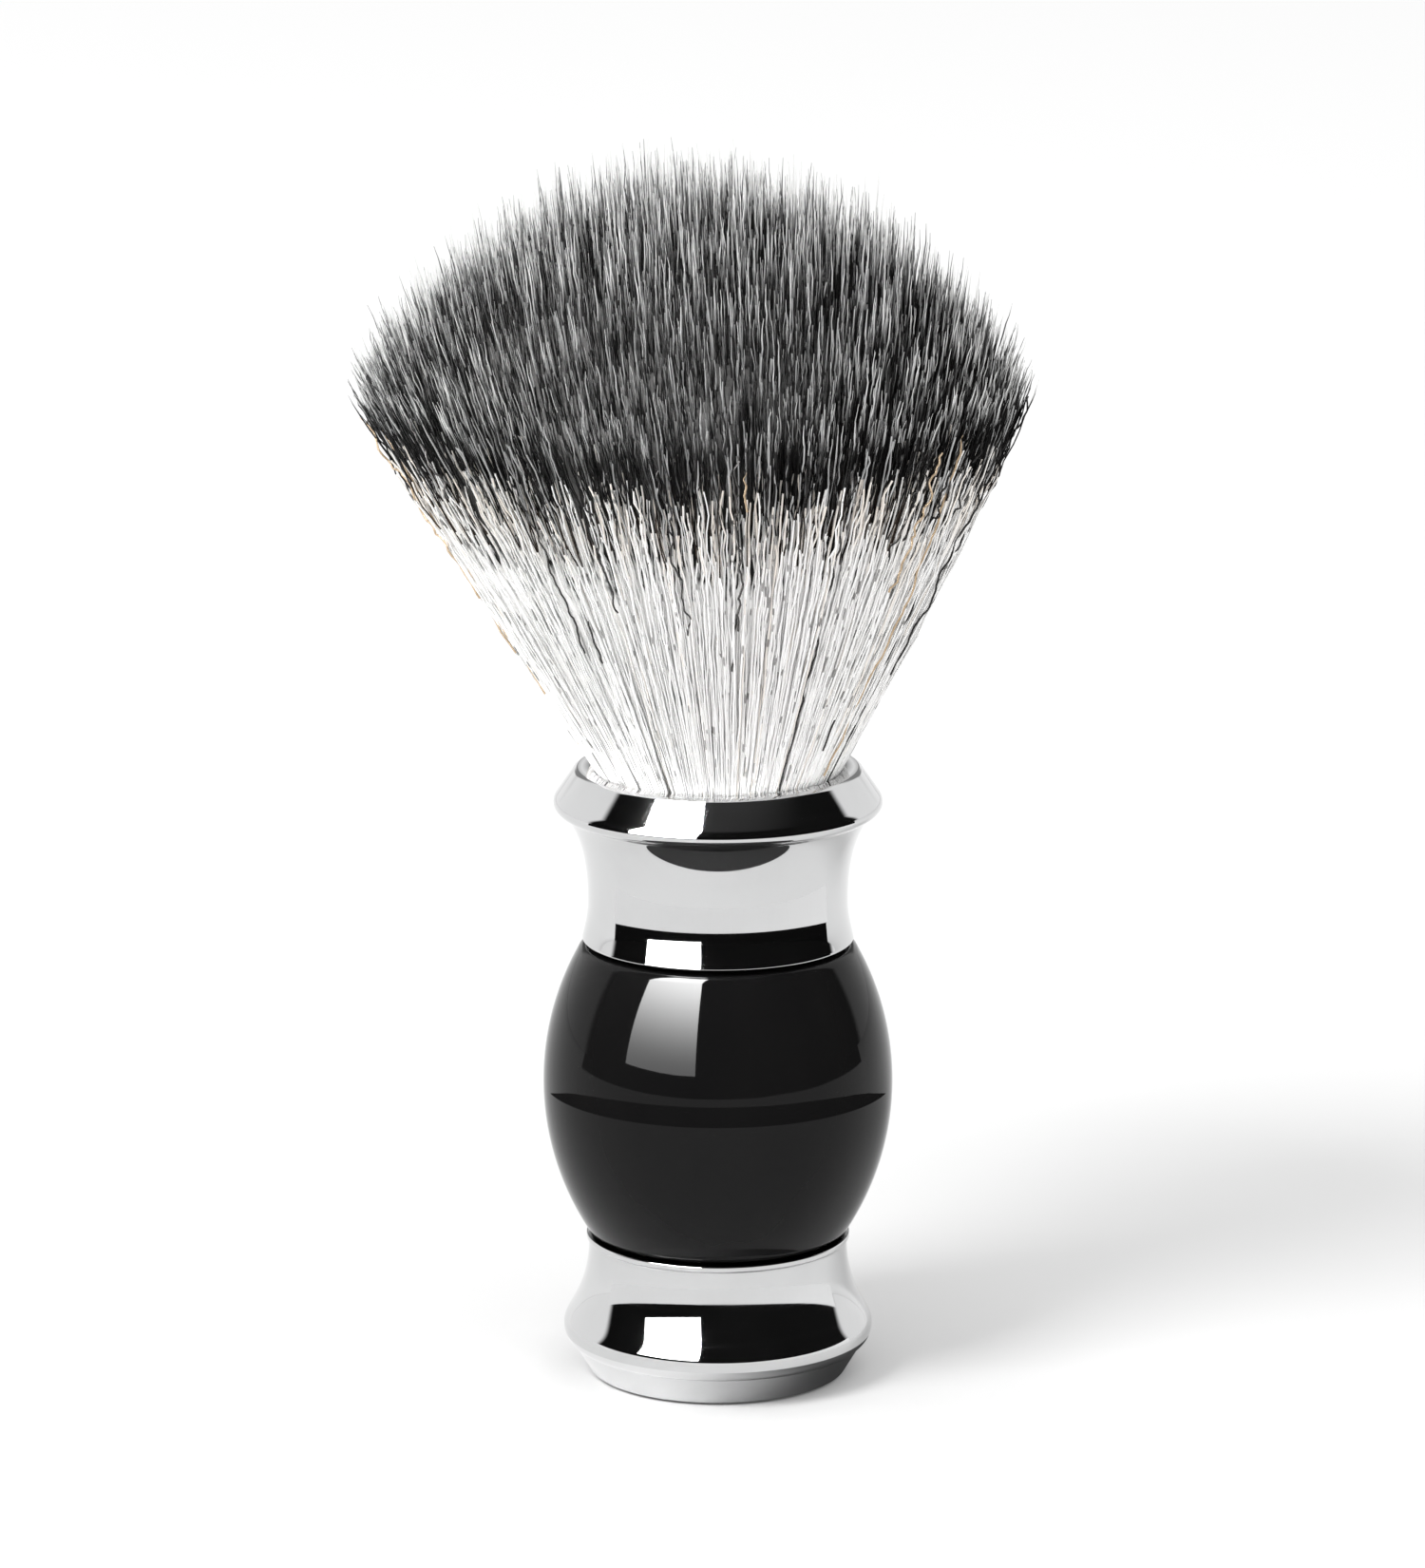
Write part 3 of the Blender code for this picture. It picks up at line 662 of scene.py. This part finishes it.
    # Crimp along each strand, a random splay, and wisps that draw neighbours together at the tips
    swing = given["Crimp"] * (0.15 + fanned) * (0.4 + 0.6 * from_tip.between(0.003, 0.011))
    own_lane = (kept("tone") * 311.0, kept("other_tone") * 173.0, reach * length * crimps_per_metre)
    crimped = wander(bench.vector(*own_lane), 1.0, swing)
    ends = bench.vector(tip_r * turn.maths("COSINE"), tip_r * turn.maths("SINE"), tip_z)
    drawn = wander(ends, wisps_per_metre, at_tip * (wisp * MM))
    splay_x = kept("sideways_x") * fanned * (splay * MM)
    splay_y = kept("sideways_y") * fanned * (splay * MM)
    spot = bench.vector(x + splay_x, y + splay_y, z)
    spot = combine("ADD", combine("ADD", spot, crimped), drawn)

    lines = keep(lines, "from_tip", from_tip)
    lines = keep(lines, "sunk", from_tip - kept("longer"))
    lines = bench.node("GeometryNodeSetPosition", {}, {"Geometry": lines, "Position": spot})

    # Thin at the root where the bundle is tight, full in the fan, tapered over the last millimetres
    taper = 0.22 + 0.78 * kept("from_tip").between(0.0, 0.0035)
    gather = 0.75 + 0.25 * fanned.between(0.0, 0.4)
    thickness = given["Thickness"] * taper * gather * (0.8 + 0.4 * kept("other_tone"))
    sockets = {"Resolution": 3, "Radius": 1.0}
    section = bench.node("GeometryNodeCurvePrimitiveCircle", {}, sockets)
    sockets = {"Curve": lines, "Profile Curve": section, "Scale": thickness, "Fill Caps": True}
    solid = bench.node("GeometryNodeCurveToMesh", {}, sockets)
    solid = bench.node("GeometryNodeRealizeInstances", {}, {"Geometry": solid})
    sockets = {"Geometry": solid, "Material": given["Dye"]}
    solid = bench.node("GeometryNodeSetMaterial", {}, sockets)
    finish = tree.nodes.new("NodeGroupOutput")
    bench.feed(finish, "Strands", solid)
    return tree


def grown(name, tree, values):
    """Runs the tree with its inputs set, and keeps the result as a plain mesh."""
    seed_mesh = bpy.data.meshes.new(name + "_seed")
    grower = placed(name + "_seed", seed_mesh)
    growth = grower.modifiers.new("Growth", "NODES")
    growth.node_group = tree
    for item in tree.interface.items_tree:
        if item.in_out == "INPUT" and item.name in values:
            growth[item.identifier] = values[item.name]
    graph = bpy.context.evaluated_depsgraph_get()
    mesh = bpy.data.meshes.new_from_object(grower.evaluated_get(graph))
    bpy.data.objects.remove(grower)
    bpy.data.meshes.remove(seed_mesh)
    mesh.name = name
    mesh.shade_smooth()
    return placed(name, mesh)


def dyed(name, **values):
    """A fibre's material, with its strand's two random tones and its distance from the tip."""
    finish = Finish(name, **values)
    return finish, *(finish.attribute(key) for key in ("tone", "other_tone", "from_tip"))


white, tone, other_tone, from_tip = dyed("white_fibre", Specular_IOR_Level=0.15, Sheen_Weight=0.6)
lane = white.vector(tone * 900.0, other_tone * 500.0, from_tip * 430.0)
fleck = white.noise(lane, 1.0, 1.0).between(0.665, 0.70)
warm = (1 - from_tip.between(0.012, 0.020)) * other_tone.between(0.2, 0.9)
warm = warm + tone.between(0.93, 0.97) * 0.7
snow = white.mix(other_tone, (0.965, 0.962, 0.958), (0.91, 0.90, 0.89))
snow = white.mix(warm.maths("MINIMUM", 1.0) * 0.55, snow, (0.78, 0.66, 0.53))
snow = white.mix(fleck * 0.8, snow, (0.07, 0.065, 0.06))
white.set(Base_Color=snow, Roughness=0.45 + 0.15 * tone)

black, tone, other_tone, from_tip = dyed("black_fibre", Specular_IOR_Level=0.05)
brown = from_tip.between(0.011, 0.0145)
ink_and_painted_highlights = black.mix(tone, (0.002, 0.002, 0.002), (0.010, 0.0095, 0.0095))
ink_and_painted_highlights = black.mix(brown * 0.8, ink_and_painted_highlights, (0.026, 0.017, 0.012))
# A few black strands are painted mid grey: painted highlights
ink_and_painted_highlights = black.mix(other_tone.between(0.84, 0.87), ink_and_painted_highlights, (0.44, 0.44, 0.44))
black.set(Base_Color=ink_and_painted_highlights, Roughness=0.40 + 0.2 * tone)

grey, tone, other_tone, from_tip = dyed("grey_fibre", Specular_IOR_Level=0.12)
body_grey = grey.mix(other_tone, (0.06, 0.06, 0.06), (0.58, 0.58, 0.58))
# Strands at the left and right of the fan and over its crown are painted paler: painted rim light
side, crown = grey.along("X").maths("ABSOLUTE"), grey.along("Z")
painted_rim_light = (side.between(0.004, 0.023) + crown.between(0.0995, 0.1105)).maths("MINIMUM", 1.0)
body_grey = grey.mix(painted_rim_light * 0.7, body_grey, (0.78, 0.78, 0.77))
# A share of the strands is near black, and these too are painted paler at the sides and crown
dark_strands_with_painted_rim = grey.mix(painted_rim_light, (0.006, 0.006, 0.006), (0.10, 0.10, 0.10))
body_grey = grey.mix(tone.between(0.41, 0.45), dark_strands_with_painted_rim, body_grey)
# Below the dome surface the grey turns towards black: partly painted shade deep in the bundle,
# partly the grey dye running into the black band
depth = grey.attribute("sunk")
body_grey = grey.mix(depth.between(0.0010, 0.0056), body_grey, (0.008, 0.008, 0.008))
# The pale tips are the fibres' own; keeping them to tips near the dome surface is painted light. The
# result also carries the painted rim light and painted shade above
pale_end = (1 - from_tip.between(0.0, 0.0015)) * (1 - depth.between(0.0008, 0.0045))
pale_tipped_and_painted_light = grey.mix(pale_end * tone.between(0.2, 0.5) * 0.85, body_grey, (0.80, 0.80, 0.79))
grey.set(Base_Color=pale_tipped_and_painted_light, Roughness=0.42 + 0.2 * tone)

tree = strand_tree()
sectors, outer_strands, inner_strands = 4, 1150, 1650
all_strands = outer_strands + inner_strands
# Where the dyes meet: metres from the tip, how far that varies from strand to strand, and a seed
root, tip = (1.0, 0.0, 21), (0.0, 0.0, 24)
white_ends, black_ends = (0.0150, 0.0115, 22), (0.0048, 0.003, 23)
stretches = {
    "white_fibres": (white, 0.092, outer_strands, 20, root, white_ends),
    "black_fibres": (black, 0.074, all_strands, 6, white_ends, black_ends),
    "grey_fibres": (grey, 0.074, all_strands, 5, black_ends, tip),
}
for name, (dye, thickness, count, steps, lower, upper) in stretches.items():
    for sector in range(sectors):
        values = {
            "Strands": count,
            "Outer strands": outer_strands,
            "Steps": steps,
            "Seed": 100 * sector,
            "Sector start": math.tau * sector / sectors,
            "Sector width": math.tau / sectors,
            "Shell share": 0.86,
            "Lower end": lower[0],
            "Upper end": upper[0],
            "Lower jag": lower[1],
            "Upper jag": upper[1],
            "Lower seed": 1000 * sector + lower[2],
            "Upper seed": 1000 * sector + upper[2],
            "Thickness": thickness * MM,
            "Crimp": 1.8 * MM,
            "Dye": dye.material,
        }
        bend(grown(f"{name}_{sector + 1}", tree, values))

# A few thicker dark strands wander over the white ones
long_dark, tone, other_tone, from_tip = dyed("long_dark_fibre", Specular_IOR_Level=0.25)
tan = long_dark.mix(tone.between(0.90, 0.94), (0.012, 0.011, 0.011), (0.60, 0.44, 0.28))
tan = long_dark.mix(other_tone * 0.3, tan, (0.05, 0.045, 0.04))
long_dark.set(Base_Color=tan, Roughness=0.4 + 0.2 * other_tone)
long_dark_strands = 64
values = {
    "Strands": long_dark_strands,
    "Outer strands": long_dark_strands,
    "Steps": 60,
    "Seed": 907,
    "Sector start": 0.0,
    "Sector width": math.tau,
    "Shell share": 1.018,
    "Lower end": 0.029,
    "Upper end": 0.004,
    "Lower jag": 0.034,
    "Upper jag": 0.004,
    "Lower seed": 78,
    "Upper seed": 79,
    "Thickness": 0.11 * MM,
    "Crimp": 3.4 * MM,
    "Dye": long_dark.material,
}
bend(grown("long_dark_fibres", tree, values))


# --- Floor, light and camera ----------------------------------------------------------------------
# A wide pale floor under a white studio, with a soft key from the left and even fill. The polished
# surfaces mirror a dark front flag with one tall soft window in it, left of the middle, and cards
# that only they see: a small flag by the barrel, a dark and a bright one on the floor in front.

floor_half, floor_z = 4.0, -0.00002
quarters = ((-1, -1), (1, -1), (1, 1), (-1, 1))
corners = [(x * floor_half, y * floor_half, floor_z) for x, y in quarters]
floor_mesh = bpy.data.meshes.new("floor")
floor_mesh.from_pydata(corners, [], [(0, 1, 2, 3)])
matt = {"Roughness": 1.0, "Specular_IOR_Level": 0.0}
pale = Finish("pale_floor", Base_Color=(0.605, 0.605, 0.605), Roughness=0.9, Specular_IOR_Level=0.0)
floor_mesh.materials.append(pale.material)
placed("floor", floor_mesh)


def card(name, finish, inner, outer, sector, heights, power=0.0):
    """A bent card in front of the brush, in millimetres and degrees, that only mirrors see."""
    steps, rim = 48, []
    for i in range(steps + 1):
        angle = math.radians(sector[0] + (sector[1] - sector[0]) * i / steps)
        reach = inner + (outer - inner) * math.sin(math.pi * i / steps) ** power if power else outer
        for r, z in ((inner, heights[0]), (reach, heights[1])):
            rim.append((r * math.sin(angle) * MM, -r * math.cos(angle) * MM, z * MM))
    mesh = bpy.data.meshes.new(name)
    mesh.from_pydata(rim, [], [(2 * i, 2 * i + 1, 2 * i + 3, 2 * i + 2) for i in range(steps)])
    mesh.materials.append(finish.material)
    made = placed(name, mesh)
    for kind in ("camera", "diffuse", "transmission", "volume_scatter", "shadow"):
        setattr(made, "visible_" + kind, False)


cloth = Finish("flag_cloth", Base_Color=(0.035, 0.035, 0.035), **matt)
card("small_flag", cloth, 16.1, 30.0, (-74, 74), (27.4, 27.4), 0.6)

front = (-100, 108)
black_cloth = Finish("black_cloth", Base_Color=(0.003, 0.003, 0.003), **matt)
card("floor_flag", black_cloth, 120.0, 6000.0, front, (0.5, 0.5))

wall = Finish("low_wall", Base_Color=(0.0, 0.0, 0.0))
wall.set(Emission_Color=(1.0, 1.0, 1.0), Emission_Strength=1.05)
card("low_wall", wall, 119.0, 119.0, front, (0.0, 22.0))

shade = Finish("floor_shade", **matt)
to_right = shade.along("X").between(-0.008, 0.013)
shade.set(Base_Color=shade.mix(to_right, (0.75, 0.75, 0.75), (0.08, 0.08, 0.08)))
card("floor_shade", shade, 11.6, 17.0, (-180, 180), (0.1, 0.1))

window = Finish("window_light", Base_Color=(0.0, 0.0, 0.0), Emission_Strength=100.0)
upward = window.along("Z").between(0.038, 0.150)
window.set(Emission_Color=window.mix(upward, (0.10, 0.10, 0.10), (1.0, 1.0, 1.0)))
card("window", window, 108.0, 108.0, (-60, -14), (39.5, 480.0))


def aimed(name, data, place, target):
    """A light or the camera, in metres, pointed at a target."""
    made = placed(name, data)
    made.location = place
    made.rotation_euler = (Vector(target) - Vector(place)).to_track_quat("-Z", "Y").to_euler()
    return made


key_light = bpy.data.lights.new("key", "AREA")
key_light.size, key_light.energy = 1.0, 62.0
key = aimed("key", key_light, (-1.45, -1.35, 2.1), (0.0, 0.0, 0.09))
key.visible_glossy = False

studio = bpy.data.worlds.new("studio")
studio.use_nodes = True
bpy.context.scene.world = studio
room = Bench(studio.node_tree)
studio.node_tree.nodes.clear()
compass = {"Vector": room.node("ShaderNodeTexCoord", output="Generated")}
east, north, up = (room.node("ShaderNodeSeparateXYZ", {}, compass, axis) for axis in "XYZ")
bearing = east.maths("ARCTAN2", 0 - north) * math.degrees(1)
climb = up.maths("ARCSINE") * math.degrees(1)


def panel(left, right, bottom, top, soft):
    """1 inside a panel of the studio's wall, in degrees, and 0 outside it."""
    inside = bearing.between(left - soft, left + soft)
    inside = inside * (1 - bearing.between(right - soft, right + soft))
    inside = inside * climb.between(bottom - soft, bottom + soft)
    return inside * (1 - climb.between(top - soft, top + soft))


flag = panel(-100, 112, -40, 68, 3.0)
rear_flag = panel(150, 178, 8, 50, 4.0) + panel(-178, -150, 8, 50, 4.0)
dark = room.mix(climb.between(42, 60), (0.006, 0.006, 0.006), (0.050, 0.050, 0.050))
glow = room.mix(flag, (1.08, 1.08, 1.08), dark)
glow = room.mix(rear_flag, glow, (0.30, 0.30, 0.30))
mirrored = room.node("ShaderNodeLightPath", output="Is Glossy Ray")
seen = room.node("ShaderNodeLightPath", output="Is Camera Ray")
fill = room.mix(0.5 - 0.35 * north + 0.35 * east, (1.0, 1.0, 1.0), (1.62, 1.62, 1.62))
sky = room.mix(mirrored, fill, glow)
sky = room.mix(seen, sky, (1.0, 1.0, 1.0))
light = room.node("ShaderNodeBackground", {}, {"Color": sky, "Strength": 1.0})
room.feed(studio.node_tree.nodes.new("ShaderNodeOutputWorld"), "Surface", light)

lens = bpy.data.cameras.new("camera")
lens.lens, lens.sensor_width = 175.85, 36.0
lens.clip_start, lens.clip_end = 0.01, 50.0
camera = aimed("camera", lens, (-0.0005, -0.676, 0.217), (-0.0005, 0.0, 0.0553))
bpy.context.scene.camera = camera
bpy.context.scene.view_settings.view_transform = "Standard"
